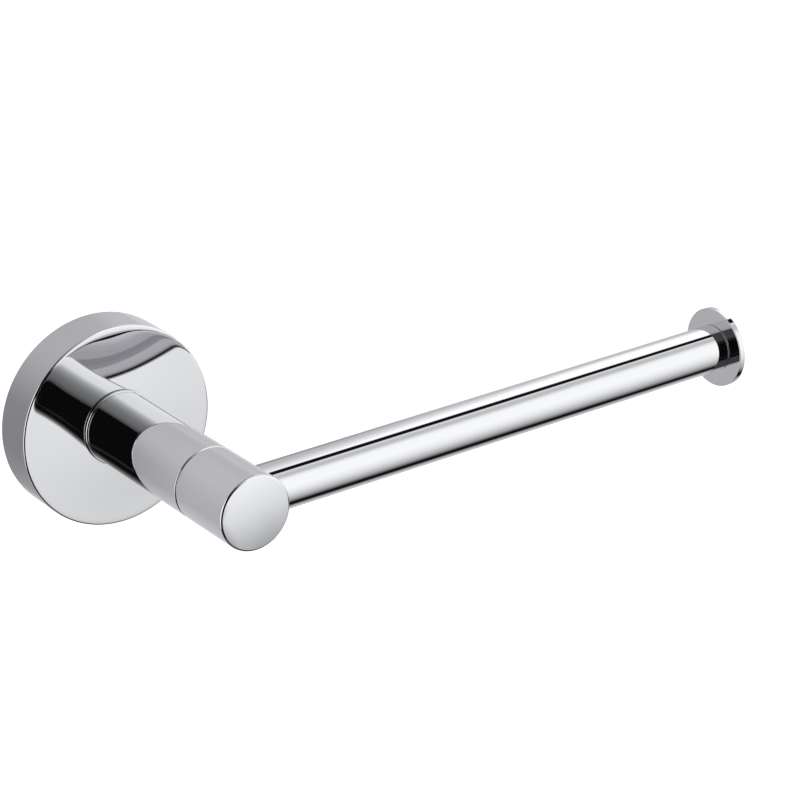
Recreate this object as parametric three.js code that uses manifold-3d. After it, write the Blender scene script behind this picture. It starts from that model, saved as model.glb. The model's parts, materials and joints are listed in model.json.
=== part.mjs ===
// Single-post toilet paper holder: a round wall flange, a post, and a roll bar with a disc stop.
// Millimetres, +Z up. The wall is the plane y = 0, the post comes out of it along -Y, and the
// roll bar runs along +X. The origin is the centre of the wall bracket's back face.
import * as THREE from 'three';
import { mergeVertices } from 'three/addons/utils/BufferGeometryUtils.js';
import Module from 'manifold-3d';

const wasm = await Module();
wasm.setup();

// ---- Driving dimensions ---------------------------------------------------------------------
// Distances named ..._OUT are measured from the wall, along the post.
const FLANGE_DIAMETER = 55.5;
const FLANGE_RIM_DEPTH = 12;
const FLANGE_CROWN = 1;
const FLANGE_SIDE_WALL = 1.8;
const FLANGE_INNER_DEPTH = 10;
const POST_DIAMETER = 20;
const POST_WALL = 2;
const SEAM_OUT = 58;
const HEAD_RIM_OUT = 79.2;
const HEAD_CROWN = 1;
const BAR_DIAMETER = 13;
const BAR_WALL = 1;
const BAR_AXIS_OUT = 69;
const BAR_TO_STOP = 157;
const STOP_DIAMETER = 22.2;
const STOP_THICKNESS = 1.8;

const BRACKET_DIAMETER = 46;
const BRACKET_DEPTH = 7;
const BRACKET_FLOOR = 2.5;
const BRACKET_RIM = 3.4;
const SCREW_SLOT_SPACING = 26;
const SCREW_SLOT_LENGTH = 9;
const SCREW_SLOT_WIDTH = 5.2;

const GAP = 0.3; // between pieces that touch, and around every screw and pin
const M4 = 4;
const M5 = 5;
const M6 = 6;

// Chamfers along visible edges.
const FLANGE_EDGE = 0.45;
const POST_BASE_EDGE = 0.5;
const SEAM_EDGE = 0.25;
const END_EDGE = 0.3;
const STOP_EDGE = 0.25;
const SCREW_EDGE = 0.3;

// Facets round a turned piece, by size.
const LARGE_ROUND = 64;
const MEDIUM_ROUND = 48;
const SMALL_ROUND = 28;
const PIN_ROUND = 20;
const HEXAGON = 6;
const CROWN_STEPS = 4; // rings on a crowned face

// ---- Derived sizes --------------------------------------------------------------------------
const flangeRadius = FLANGE_DIAMETER / 2;
const flangeInside = flangeRadius - FLANGE_SIDE_WALL;
const postRadius = POST_DIAMETER / 2;
const postBore = postRadius - POST_WALL;
const plugRadius = postBore - GAP;
const barRadius = BAR_DIAMETER / 2;
const barBore = barRadius - BAR_WALL;
const barPlugRadius = barBore - GAP;
const m6Hole = M6 / 2 + GAP;
const crownAt = (radius, full, crown) => crown * (1 - (radius / full) ** 2);
const postSeat = FLANGE_RIM_DEPTH + crownAt(postRadius + GAP, flangeRadius, FLANGE_CROWN);
const postStart = postSeat + GAP;
const postStop = SEAM_OUT - GAP / 2;
const headStart = SEAM_OUT + GAP / 2;

// The bar's own frame: distance runs along +X from the post's axis.
const barFrame = new THREE.Matrix4().makeRotationZ(Math.PI / 2).setPosition(0, -BAR_AXIS_OUT, 0);
// A vertical screw's frame: distance runs down from the post's axis.
const downFrame = (out) => new THREE.Matrix4().makeRotationX(Math.PI / 2).setPosition(0, -out, 0);

// ---- Shape helpers --------------------------------------------------------------------------
// A turned solid about local Y. Its profile is a list of [distance, radius] pairs, distance being
// measured towards -Y, and it runs outward on the near side and back in on the far side.
function turned(profile, segments) {
  const points = profile.map(([distance, radius]) => new THREE.Vector2(radius, -distance));
  return new THREE.LatheGeometry(points.reverse(), segments);
}

function rod(from, to, radius, edge = 0, segments = SMALL_ROUND) {
  const near = edge ? [[from, radius - edge], [from + edge, radius]] : [[from, radius]];
  const far = edge ? [[to - edge, radius], [to, radius - edge]] : [[to, radius]];
  return turned([[from, 0], ...near, ...far, [to, 0]], segments);
}

function ring(from, to, inner, outer, segments = SMALL_ROUND) {
  const start = [from, inner];
  return turned([start, [from, outer], [to, outer], [to, inner], start], segments);
}

// Profile points of a slightly crowned face, from its outer edge in to a smaller radius.
function crownedFace(distance, crown, outer, inner, full) {
  return Array.from({ length: CROWN_STEPS + 1 }, (_, step) => {
    const radius = outer + ((inner - outer) * step) / CROWN_STEPS;
    return [distance + crownAt(radius, full, crown), radius];
  });
}

// A flat outline given in X and Z, made solid from one distance out of the wall to another.
function plate(shape, from, to, curveSegments = 24) {
  const options = { depth: to - from, bevelEnabled: false, curveSegments };
  const geometry = new THREE.ExtrudeGeometry(shape, options);
  return geometry.rotateX(Math.PI / 2).translate(0, -from, 0);
}

function box(low, high) {
  const size = high.map((value, axis) => value - low[axis]);
  const middle = high.map((value, axis) => (value + low[axis]) / 2);
  return new THREE.BoxGeometry(...size).translate(...middle);
}

function solid(geometry) {
  const bare = geometry.index ? geometry.toNonIndexed() : geometry.clone();
  bare.deleteAttribute('normal');
  bare.deleteAttribute('uv');
  const merged = mergeVertices(bare, 1e-4);
  const index = Array.from(merged.index.array);
  const triVerts = [];
  for (let i = 0; i < index.length; i += 3) {
    const [a, b, c] = index.slice(i, i + 3);
    if (a !== b && b !== c && c !== a) triVerts.push(a, b, c);
  }
  const vertProperties = new Float32Array(merged.attributes.position.array);
  const mesh = { numProp: 3, vertProperties, triVerts: new Uint32Array(triVerts) };
  return new wasm.Manifold(new wasm.Mesh(mesh));
}

function geometryOf(manifold) {
  const mesh = manifold.getMesh();
  const geometry = new THREE.BufferGeometry();
  geometry.setAttribute('position', new THREE.BufferAttribute(mesh.vertProperties, 3));
  geometry.setIndex(new THREE.BufferAttribute(mesh.triVerts, 1));
  geometry.computeVertexNormals();
  return geometry;
}

function cut(geometry, ...tools) {
  return geometryOf(tools.reduce((whole, tool) => whole.subtract(solid(tool)), solid(geometry)));
}

function join(geometry, ...others) {
  return geometryOf(others.reduce((whole, other) => whole.add(solid(other)), solid(geometry)));
}

// A slot with round ends, its centre at (x, z); it runs along X, or along Z when upright.
function slotOutline(x, z, length, width, upright, path = new THREE.Path()) {
  const radius = width / 2;
  const reach = length / 2 - radius;
  const turn = upright ? Math.PI / 2 : 0;
  const dx = upright ? 0 : reach;
  const dz = upright ? reach : 0;
  path.absarc(x + dx, z + dz, radius, turn - Math.PI / 2, turn + Math.PI / 2, false);
  path.absarc(x - dx, z - dz, radius, turn + Math.PI / 2, turn + Math.PI * 1.5, false);
  path.closePath();
  return path;
}

// ---- Finishes -------------------------------------------------------------------------------
const finish = (color, metalness, roughness) => () =>
  new THREE.MeshStandardMaterial({ color, metalness, roughness });
const chrome = finish(0xe2e4e8, 1, 0.04);
const zincCasting = finish(0x9b9da0, 1, 0.45);
const platedSteel = finish(0xb4b6b8, 1, 0.3);
const rawBrass = finish(0xc2a15a, 1, 0.35);
const springSteel = finish(0x6f7276, 1, 0.35);
const nylon = finish(0xd9d8d0, 0, 0.55);

function piece(name, geometry, material) {
  const mesh = new THREE.Mesh(geometry, material());
  mesh.name = name;
  return mesh;
}

// ---- Wall bracket ---------------------------------------------------------------------------
// A shallow cast dish screwed flat on the wall. Its two slots cross, for levelling the holder,
// and a flat under its rim takes the tip of the flange's set screw.
const bracketFlat = BRACKET_DIAMETER / 2 - 0.8;

function wallBracket() {
  const outer = BRACKET_DIAMETER / 2;
  const rimInside = outer - BRACKET_RIM;
  const floor = new THREE.Shape().absarc(0, 0, outer - BRACKET_RIM / 2, 0, Math.PI * 2, false);
  const side = SCREW_SLOT_SPACING / 2;
  floor.holes.push(slotOutline(-side, 0, SCREW_SLOT_LENGTH, SCREW_SLOT_WIDTH, false));
  floor.holes.push(slotOutline(side, 0, SCREW_SLOT_LENGTH, SCREW_SLOT_WIDTH, true));
  const rim = ring(0, BRACKET_DEPTH, rimInside, outer, LARGE_ROUND);
  const dish = join(plate(floor, 0, BRACKET_FLOOR, 12), rim);
  const below = box([-outer, -BRACKET_DEPTH - 1, -outer - 1], [outer, 1, -bracketFlat]);
  return cut(dish, below);
}

// ---- Flange cover ---------------------------------------------------------------------------
// A cup that hides the bracket, its face slightly crowned round a flat seat for the post. A boss
// inside its lower wall takes the set screw.
const SET_SCREW_OUT = 4;
const SET_SCREW_LENGTH = 5;
const setScrewTip = bracketFlat + GAP;
const LOCATING_PIN_DIAMETER = 2.5;
const LOCATING_PIN_UP = 5.6;

function flangeCover() {
  const back = [0, flangeInside];
  const rim = flangeRadius - FLANGE_EDGE;
  const cup = turned([
    back, [0, flangeRadius], [FLANGE_RIM_DEPTH - FLANGE_EDGE, flangeRadius],
    ...crownedFace(FLANGE_RIM_DEPTH, FLANGE_CROWN, rim, postRadius + GAP, flangeRadius),
    [postSeat, m6Hole], [FLANGE_INNER_DEPTH, m6Hole], [FLANGE_INNER_DEPTH, flangeInside], back,
  ], LARGE_ROUND);
  const bossHalf = 4;
  const bossTop = -(BRACKET_DIAMETER / 2 + GAP);
  const bossFoot = -(flangeRadius - FLANGE_SIDE_WALL / 2);
  const boss = box([-bossHalf, -SET_SCREW_OUT - 3.5, bossFoot], [bossHalf, -0.5, bossTop]);
  const setScrewHole = rod(setScrewTip - 1, flangeRadius + 1, M4 / 2 + GAP);
  const pinRadius = LOCATING_PIN_DIAMETER / 2 + GAP;
  const pinHole = rod(FLANGE_INNER_DEPTH - 1, postSeat + 1, pinRadius, 0, PIN_ROUND);
  return cut(
    join(cup, boss),
    setScrewHole.applyMatrix4(downFrame(SET_SCREW_OUT)),
    pinHole.translate(0, 0, LOCATING_PIN_UP),
  );
}

function setScrew() {
  const foot = setScrewTip + SET_SCREW_LENGTH;
  const body = turned([
    [setScrewTip, 0], [setScrewTip, M4 / 4], [setScrewTip + 0.8, M4 / 2],
    [foot - SCREW_EDGE, M4 / 2], [foot, M4 / 2 - SCREW_EDGE], [foot, 0],
  ], SMALL_ROUND);
  const socket = rod(foot - 2, foot + 1, 1.15, 0, HEXAGON);
  return cut(body, socket);
}

// ---- Post -----------------------------------------------------------------------------------
// A tube between two pressed-in plugs. The base plug is drawn tight on the flange by a screw,
// and a locating pin stops the post from turning on it. The front plug carries the swivel.
const BASE_PLUG_LENGTH = 11;
const FRONT_PLUG_LENGTH = 12.6;
const THRUST_WASHER = 0.95;
const STOP_PIN_DIAMETER = 2;
const STOP_PIN_RADIUS = 5.6; // from the post's axis
const STOP_SLOT_DEPTH = 4;
const SWING = Math.PI / 2; // from level to upright
const frontPlugFace = postStop - THRUST_WASHER - GAP;
const frontPlugBack = frontPlugFace - FRONT_PLUG_LENGTH;
const stopPinReach = STOP_PIN_DIAMETER / 2 + GAP;

function postTube() {
  const near = [postStart, postBore];
  return turned([
    near, [postStart, postRadius - POST_BASE_EDGE], [postStart + POST_BASE_EDGE, postRadius],
    [postStop - SEAM_EDGE, postRadius], [postStop, postRadius - SEAM_EDGE],
    [postStop, postBore], near,
  ], LARGE_ROUND);
}

function basePlug() {
  const plug = ring(postStart, postStart + BASE_PLUG_LENGTH, m6Hole, plugRadius, MEDIUM_ROUND);
  const pinRadius = LOCATING_PIN_DIAMETER / 2 + GAP;
  const pinHole = rod(postStart - 1, postStart + 4.5, pinRadius, 0, PIN_ROUND);
  return cut(plug, pinHole.translate(0, 0, LOCATING_PIN_UP));
}

// The slot that the stop pin runs in: a quarter ring with round ends, centred on +X.
function stopSlot() {
  const half = SWING / 2 + 0.04;
  const inner = STOP_PIN_RADIUS - stopPinReach;
  const outer = STOP_PIN_RADIUS + stopPinReach;
  const end = (angle) => [Math.cos(angle) * STOP_PIN_RADIUS, Math.sin(angle) * STOP_PIN_RADIUS];
  const slot = new THREE.Shape();
  slot.absarc(0, 0, outer, -half, half, false);
  slot.absarc(...end(half), stopPinReach, half, half + Math.PI, false);
  slot.absarc(0, 0, inner, half, -half, true);
  slot.absarc(...end(-half), stopPinReach, Math.PI - half, 2 * Math.PI - half, false);
  return plate(slot, frontPlugFace - STOP_SLOT_DEPTH, frontPlugFace + 1, 12);
}

function frontPlug() {
  const plug = ring(frontPlugBack, frontPlugFace, m6Hole, plugRadius, MEDIUM_ROUND);
  return cut(plug, stopSlot());
}

function locatingPin() {
  const from = FLANGE_INNER_DEPTH + GAP;
  return rod(from, from + 6.2, LOCATING_PIN_DIAMETER / 2, 0.25, PIN_ROUND);
}

// ---- Screw that draws the post on the flange --------------------------------------------------
const PLAIN_WASHER = 1;
const SPRING_WASHER = 1.3;
const FIXING_HEAD_HEIGHT = 3;
const FIXING_HEAD_DIAMETER = 10;
const plainWasherFace = FLANGE_INNER_DEPTH - GAP;
const springWasherFace = plainWasherFace - PLAIN_WASHER - GAP;
const fixingHeadFace = springWasherFace - SPRING_WASHER - GAP;

const fixingPlainWasher = () =>
  ring(plainWasherFace - PLAIN_WASHER, plainWasherFace, m6Hole, M6, SMALL_ROUND);

function fixingSpringWasher() {
  const washer = ring(springWasherFace - SPRING_WASHER, springWasherFace, m6Hole, 5.2);
  const split = box([-0.35, -springWasherFace - 1, 2], [0.35, -springWasherFace + 3, 7]);
  return cut(washer, split);
}

function fixingScrew() {
  const back = fixingHeadFace - FIXING_HEAD_HEIGHT;
  const rim = FIXING_HEAD_DIAMETER / 2;
  const tip = postStart + 9.3;
  const body = turned([
    [back, 0], [back, rim - 0.8], [back + 0.8, rim], [fixingHeadFace, rim],
    [fixingHeadFace, M6 / 2], [tip - 0.6, M6 / 2], [tip, M6 / 2 - 0.6], [tip, 0],
  ], MEDIUM_ROUND);
  return cut(body, rod(back - 1, back + 2, 2.3, 0, HEXAGON));
}

// ---- Swivel ---------------------------------------------------------------------------------
// A stud fixed in the head turns in the front plug. A wave washer behind the plug gives it drag,
// and the stop pin, fixed in the head, holds the bar level and lets it lift to upright.
const STUD_END_OUT = 61.9;
const STUD_START_OUT = 34.5;
const SWIVEL_WASHER = 0.8;
const WAVE_WASHER = 0.5;
const WAVE_HEIGHT = 0.22;
const LOCK_NUT_HEIGHT = 4;
const LOCK_NUT_FLATS = 10;
const waveWasherMiddle = frontPlugBack - GAP - SWIVEL_WASHER - GAP - WAVE_HEIGHT - WAVE_WASHER / 2;
const lockNutFace = waveWasherMiddle - WAVE_WASHER / 2 - WAVE_HEIGHT - GAP;

const swivelStud = () => rod(STUD_START_OUT, STUD_END_OUT, M6 / 2, 0.5, SMALL_ROUND);
const stopPin = () => rod(frontPlugFace - 3.4, headStart + 2.5, STOP_PIN_DIAMETER / 2, 0.2, PIN_ROUND);

function swivelThrustWasher() {
  const from = frontPlugFace + GAP;
  const washer = ring(from, from + THRUST_WASHER, m6Hole, plugRadius, MEDIUM_ROUND);
  return cut(washer, stopPinHole(from - 1, from + THRUST_WASHER + 1));
}

const swivelPlainWasher = () =>
  ring(frontPlugBack - GAP - SWIVEL_WASHER, frontPlugBack - GAP, m6Hole, M6, SMALL_ROUND);

function swivelWaveWasher() {
  const half = WAVE_WASHER / 2;
  const washer = ring(waveWasherMiddle - half, waveWasherMiddle + half, m6Hole, 5.4, 36);
  const place = washer.attributes.position;
  for (let i = 0; i < place.count; i += 1) {
    const angle = Math.atan2(place.getZ(i), place.getX(i));
    place.setY(i, place.getY(i) + WAVE_HEIGHT * Math.sin(3 * angle));
  }
  return washer;
}

function swivelLockNut() {
  const corner = LOCK_NUT_FLATS / 2 / Math.cos(Math.PI / HEXAGON);
  const nut = rod(lockNutFace - LOCK_NUT_HEIGHT, lockNutFace, corner, 0, HEXAGON);
  const hole = rod(lockNutFace - LOCK_NUT_HEIGHT - 1, lockNutFace + 1, m6Hole);
  return cut(nut, hole);
}

// The stop pin lies an eighth of a turn below the bar, so that it rises with it.
function stopPinHole(from, to) {
  const hole = rod(from, to, STOP_PIN_DIAMETER / 2 + GAP, 0, PIN_ROUND);
  return hole.translate(stopPinPlace.x, 0, stopPinPlace.z);
}

const stopPinPlace = {
  x: STOP_PIN_RADIUS * Math.cos(SWING / 2),
  z: -STOP_PIN_RADIUS * Math.sin(SWING / 2),
};

// ---- Head -----------------------------------------------------------------------------------
// A solid turned end, bored across for the bar and from behind for the stud and the stop pin.
const BAR_START = -4.5;
const GRUB_TIP = 3.8;
const GRUB_LENGTH = 5.8;

function head() {
  const body = turned([
    [headStart, 0], [headStart, postRadius - SEAM_EDGE], [headStart + SEAM_EDGE, postRadius],
    [HEAD_RIM_OUT - END_EDGE, postRadius],
    ...crownedFace(HEAD_RIM_OUT, HEAD_CROWN, postRadius - END_EDGE, 0, postRadius),
  ], LARGE_ROUND);
  const barHole = rod(BAR_START - GAP, postRadius + 1, barRadius + GAP, 0, MEDIUM_ROUND);
  const grubHole = rod(GRUB_TIP, postRadius + 1, M5 / 2 + GAP);
  return cut(
    body,
    barHole.applyMatrix4(barFrame),
    rod(headStart - 1, BAR_AXIS_OUT - barRadius, m6Hole),
    stopPinHole(headStart - 1, headStart + 2.8),
    grubHole.applyMatrix4(downFrame(BAR_AXIS_OUT)),
  );
}

// ---- Roll bar, in the bar's own frame --------------------------------------------------------
// In this frame local Z stays upright, so the grub screw's holes are cut along -Z.
const ROOT_PLUG_LENGTH = 16;
const END_PLUG_LENGTH = 10;
const STOP_SPIGOT_LENGTH = 8;

const grubHoleInBar = () =>
  rod(GRUB_TIP - GAP, barRadius + 1, M5 / 2 + GAP).rotateX(Math.PI / 2);

function barTube() {
  return cut(ring(BAR_START, BAR_TO_STOP - GAP, barBore, barRadius, MEDIUM_ROUND), grubHoleInBar());
}

function barRootPlug() {
  const plug = rod(BAR_START, BAR_START + ROOT_PLUG_LENGTH, barPlugRadius, 0.4, SMALL_ROUND);
  return cut(plug, grubHoleInBar());
}

const barEndPlug = () =>
  ring(BAR_TO_STOP - 2 * GAP - END_PLUG_LENGTH, BAR_TO_STOP - 2 * GAP, m6Hole, barPlugRadius);

function stopDisc() {
  const radius = STOP_DIAMETER / 2;
  const far = BAR_TO_STOP + STOP_THICKNESS;
  const spigot = BAR_TO_STOP - STOP_SPIGOT_LENGTH;
  return turned([
    [spigot, 0], [spigot, M6 / 2], [BAR_TO_STOP, M6 / 2],
    [BAR_TO_STOP, radius - STOP_EDGE], [BAR_TO_STOP + STOP_EDGE, radius],
    [far - STOP_EDGE, radius], [far, radius - STOP_EDGE], [far, 0],
  ], MEDIUM_ROUND);
}

function barGrubScrew() {
  const foot = GRUB_TIP + GRUB_LENGTH;
  const body = rod(GRUB_TIP, foot, M5 / 2, SCREW_EDGE, SMALL_ROUND);
  return cut(body, rod(foot - 2.4, foot + 1, 1.45, 0, HEXAGON));
}

// ---- Assembly -------------------------------------------------------------------------------
const bracketBody = new THREE.Group();
bracketBody.add(piece('wall_bracket', wallBracket(), zincCasting));

const setScrewBody = new THREE.Group();
setScrewBody.applyMatrix4(downFrame(SET_SCREW_OUT));
setScrewBody.add(piece('flange_set_screw', setScrew(), platedSteel));

const pinMesh = piece('locating_pin', locatingPin(), platedSteel);
pinMesh.position.z = LOCATING_PIN_UP;

const holderBody = new THREE.Group();
holderBody.add(
  piece('flange_cover', flangeCover(), chrome),
  piece('post_tube', postTube(), chrome),
  piece('post_base_plug', basePlug(), rawBrass),
  piece('post_front_plug', frontPlug(), rawBrass),
  piece('post_fixing_screw', fixingScrew(), platedSteel),
  piece('fixing_spring_washer', fixingSpringWasher(), springSteel),
  piece('fixing_plain_washer', fixingPlainWasher(), platedSteel),
  pinMesh,
  setScrewBody,
);

const barGroup = new THREE.Group();
barGroup.applyMatrix4(barFrame);
barGroup.add(
  piece('bar_tube', barTube(), chrome),
  piece('bar_root_plug', barRootPlug(), rawBrass),
  piece('bar_end_plug', barEndPlug(), rawBrass),
  piece('end_stop_disc', stopDisc(), chrome),
);

const grubGroup = new THREE.Group();
grubGroup.applyMatrix4(downFrame(BAR_AXIS_OUT));
grubGroup.add(piece('bar_grub_screw', barGrubScrew(), platedSteel));

const stopPinMesh = piece('swivel_stop_pin', stopPin(), platedSteel);
stopPinMesh.position.set(stopPinPlace.x, 0, stopPinPlace.z);

const armBody = new THREE.Group();
armBody.add(
  piece('head', head(), chrome),
  piece('swivel_stud', swivelStud(), platedSteel),
  piece('swivel_thrust_washer', swivelThrustWasher(), nylon),
  piece('swivel_plain_washer', swivelPlainWasher(), platedSteel),
  piece('swivel_wave_washer', swivelWaveWasher(), springSteel),
  piece('swivel_lock_nut', swivelLockNut(), platedSteel),
  stopPinMesh,
  barGroup,
  grubGroup,
);

const holder = new THREE.Group();
holder.add(bracketBody, holderBody, armBody);

export default holder;
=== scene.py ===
# %% [markdown]
# # A chrome toilet paper holder
#
# This holder hangs on a wall by a round flange. A post comes straight out of the flange, a head
# on the post's end carries the roll bar, and a small disc at the bar's far end stops the roll.
# Everything that shows is mirror chrome, so the lesson is about two things: meshes smooth enough
# to be mirrors, and a studio worth reflecting.
#
# Blender works in metres. The wall is the plane y = 0, the post comes out along -Y, the bar runs
# along +X, and +Z is up.

# %% Load the frame
import json
import math

import bmesh
import bpy
import numpy as np
from mathutils import Matrix, Vector


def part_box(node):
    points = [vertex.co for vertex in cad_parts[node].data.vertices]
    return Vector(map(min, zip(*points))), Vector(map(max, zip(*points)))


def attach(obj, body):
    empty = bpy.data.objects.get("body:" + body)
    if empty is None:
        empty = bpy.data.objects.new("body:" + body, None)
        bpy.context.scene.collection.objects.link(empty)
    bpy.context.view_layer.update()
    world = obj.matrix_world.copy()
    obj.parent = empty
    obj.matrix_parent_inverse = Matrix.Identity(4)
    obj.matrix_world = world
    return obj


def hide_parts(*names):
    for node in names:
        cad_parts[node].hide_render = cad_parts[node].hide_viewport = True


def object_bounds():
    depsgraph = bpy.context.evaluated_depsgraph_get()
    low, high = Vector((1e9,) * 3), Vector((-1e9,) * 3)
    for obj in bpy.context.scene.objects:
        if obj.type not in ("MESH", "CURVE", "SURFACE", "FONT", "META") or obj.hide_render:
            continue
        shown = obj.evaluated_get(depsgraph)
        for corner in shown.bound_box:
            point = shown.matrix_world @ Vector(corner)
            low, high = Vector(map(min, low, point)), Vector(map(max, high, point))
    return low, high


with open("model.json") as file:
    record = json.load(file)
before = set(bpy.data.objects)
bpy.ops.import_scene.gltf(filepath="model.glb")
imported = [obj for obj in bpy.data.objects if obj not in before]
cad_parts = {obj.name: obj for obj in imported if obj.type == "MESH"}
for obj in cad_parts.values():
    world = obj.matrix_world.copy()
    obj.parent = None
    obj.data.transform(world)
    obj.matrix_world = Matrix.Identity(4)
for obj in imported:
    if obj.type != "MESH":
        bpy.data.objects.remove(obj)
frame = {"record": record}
cad_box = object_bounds()
MM = 0.001
body_of = {node: body for body, nodes in frame["record"]["behaviour"]["bodies"].items()
           for node in nodes}


# %% [markdown]
# ## Where things are
#
# The frame already says where each piece is, so the places are read from its boxes: a radius is
# half a box's height, and a distance along the post is a distance from the wall. Only details
# finer than the frame, such as the rounding of an edge, get numbers of their own.

# %% Read the places from the frame
def low(node, axis):
    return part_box(node)[0]["xyz".index(axis)]


def high(node, axis):
    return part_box(node)[1]["xyz".index(axis)]


def radius_of(node, axis="z"):
    return (high(node, axis) - low(node, axis)) / 2


def centre_of(node, axis):
    return (low(node, axis) + high(node, axis)) / 2


def out_span(node):
    """Nearest and furthest distance from the wall."""
    return -high(node, "y"), -low(node, "y")


def down_span(node):
    """Nearest and furthest distance below the post's axis."""
    return -high(node, "z"), -low(node, "z")


post_radius = radius_of("post_tube")
bar_radius = radius_of("bar_tube")
bar_out = -centre_of("bar_tube", "y")
GAP = 0.3 * MM
M4, M5, M6 = 4 * MM, 5 * MM, 6 * MM
m6_hole = M6 / 2 + GAP
print("post radius %.1f mm, bar radius %.1f mm, bar %.1f mm from the wall"
      % (post_radius / MM, bar_radius / MM, bar_out / MM))


# %% [markdown]
# ## The camera
#
# A long lens well back from the holder keeps its circles nearly true ellipses. The camera stands
# to the left and above, and leans a touch to its right.

# %% Camera
CAMERA_AZIMUTH = math.radians(-34.78)
CAMERA_ELEVATION = math.radians(23.42)
CAMERA_LEAN = math.radians(-1.55)
CAMERA_DISTANCE = 0.7168
CAMERA_AIM = Vector((0.0668, -0.0460, 0.0008))
LENS = 121.28


def add_camera():
    data = bpy.data.cameras.new("camera")
    data.lens, data.sensor_width = LENS, 36
    data.clip_start, data.clip_end = 0.01, 50
    camera = bpy.data.objects.new("camera", data)
    bpy.context.scene.collection.objects.link(camera)
    flat = math.cos(CAMERA_ELEVATION)
    back = Vector((math.sin(CAMERA_AZIMUTH) * flat, -math.cos(CAMERA_AZIMUTH) * flat,
                   math.sin(CAMERA_ELEVATION)))
    aim = (-back).to_track_quat("-Z", "Y").to_matrix().to_4x4()
    lean = Matrix.Rotation(CAMERA_LEAN, 4, "Z")
    camera.matrix_world = Matrix.Translation(CAMERA_AIM + back * CAMERA_DISTANCE) @ aim @ lean
    bpy.context.scene.camera = camera
    return camera


print("camera at", [round(value, 3) for value in add_camera().matrix_world.translation])


# %% [markdown]
# ## The studio
#
# Chrome has no look of its own: it shows the room. Product studios light a bar like this with long
# white strips that run the same way as the bar, and leave dark gaps between them. The gaps become
# the crisp black lines that make chrome read as chrome. Emission cards round the holder would do
# it, but they would stand in the way of every other view, so the strips are painted on the world
# instead, by direction. One ramp goes round the bar's axis for the bright right-hand side of the
# studio, another for its dark left-hand side, and a third says how the light fades from one to
# the other.

# %% Short ways to add shader nodes
def add_node(tree, kind, *values, **settings):
    """Values go to the inputs in order: a socket is linked, a number is set, None is skipped."""
    made = tree.nodes.new("ShaderNode" + kind)
    for name, value in settings.items():
        setattr(made, name, value)
    for socket, value in zip(made.inputs, values):
        if isinstance(value, bpy.types.NodeSocket):
            tree.links.new(value, socket)
        elif value is not None:
            socket.default_value = value
    return made


def calculate(tree, operation, *values):
    return add_node(tree, "Math", *values, operation=operation).outputs[0]


def times(tree, first, second):
    return calculate(tree, "MULTIPLY", first, second)


def remainder(tree, share):
    """What a share leaves of the whole."""
    return calculate(tree, "SUBTRACT", 1.0, share)


def mapped(tree, value, start, end, to_start=0.0, to_end=1.0):
    """A value's place between start and end, held inside to_start and to_end."""
    return add_node(tree, "MapRange", value, start, end, to_start, to_end).outputs[0]


RAMP_TOP = 2.0


def ramp(tree, value, stops):
    """Brightness read from (value, brightness) stops. A ramp's own colours stop at 1."""
    start, end = stops[0][0], stops[-1][0]
    made = add_node(tree, "ValToRGB", mapped(tree, value, start, end))
    elements = made.color_ramp.elements
    while len(elements) < len(stops):
        elements.new(0.5)
    for element, (place, brightness) in zip(elements, stops):
        element.position = (place - start) / (end - start)
        element.color = (brightness / RAMP_TOP,) * 3 + (1,)
    return times(tree, made.outputs[0], RAMP_TOP)


# %% [markdown]
# The stops are degrees round the bar's axis and a brightness: 0 degrees looks straight out from
# the wall, 90 straight up, 180 at the wall. Two stops close together make a hard edge.

# %% The studio's lights
BRIGHT_SIDE = [
    (-180, 0.80), (-150, 0.88), (-120, 0.82), (-106, 0.68), (-96, 0.37), (-88.5, 0.07),
    (-87, 0.008), (-71, 0.008), (-69, 0.12), (-66, 0.18), (-59, 0.40), (-53, 0.58),
    (-42, 0.81), (-27, 1.14), (-12, 1.36), (5, 1.52), (38, 1.50), (46, 1.36),
    (52, 1.12), (58, 0.84), (64, 0.80), (71, 0.88), (76, 1.14), (79, 1.05), (80.5, 0.01),
    (96, 0.01), (98, 1.60), (113, 1.60), (128, 1.25), (143, 1.00), (158, 0.79), (180, 0.72),
]
DARK_SIDE = [
    (-180, 0.69), (-165, 0.67), (-150, 0.65), (-138, 0.74), (-120, 0.80), (-101, 0.66),
    (-99, 0.09), (-52, 0.09), (-50, 0.006), (-37, 0.006), (-35, 0.05), (-33, 0.006),
    (36, 0.006), (38, 0.03), (47, 0.03), (49, 0.10), (95, 0.10), (97, 0.66),
    (120, 0.80), (140, 0.79), (160, 0.73), (180, 0.69),
]
BRIGHT_SHARE = [
    # how far right a direction points, share of the bright side that it gets
    (-1.0, 0.0), (-0.36, 0.0), (-0.345, 0.065), (-0.32, 0.09), (-0.25, 0.16), (-0.16, 0.20),
    (-0.06, 0.24), (0.03, 0.32), (0.137, 0.45), (0.24, 0.71), (0.32, 1.0), (1.0, 1.0),
]

# %% [markdown]
# A direction has three parts, each from -1 to 1: how far right it points, how far out from the
# wall, and how far up. The strips alone would be the same all along the bar, so four effects
# change them from part to part. A pair of numbers is where such an effect starts and where it is
# complete.

# %% The front light runs level
FRONT_BEND_START, FRONT_BEND = 0.55, 0.75
FURTHER_OUT = (0.0, 0.25)


def bent_out(tree, right, out):
    """How far out a direction points, with more added the further right it points."""
    beyond = calculate(tree, "MAXIMUM", 0.0, calculate(tree, "SUBTRACT", right, FRONT_BEND_START))
    beyond = times(tree, beyond, mapped(tree, out, *FURTHER_OUT))
    return calculate(tree, "MULTIPLY_ADD", beyond, FRONT_BEND, out)


# %% The strip above and behind slants
TOP_STRIP_EDGE = 97.5
TOP_STRIP_NEAREST = 100.5
TOP_STRIP_SLANT, TOP_STRIP_MIDDLE, TOP_STRIP_LEAST = 380, 0.535, -20
SLANT_FADES = (168, 145)


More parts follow.
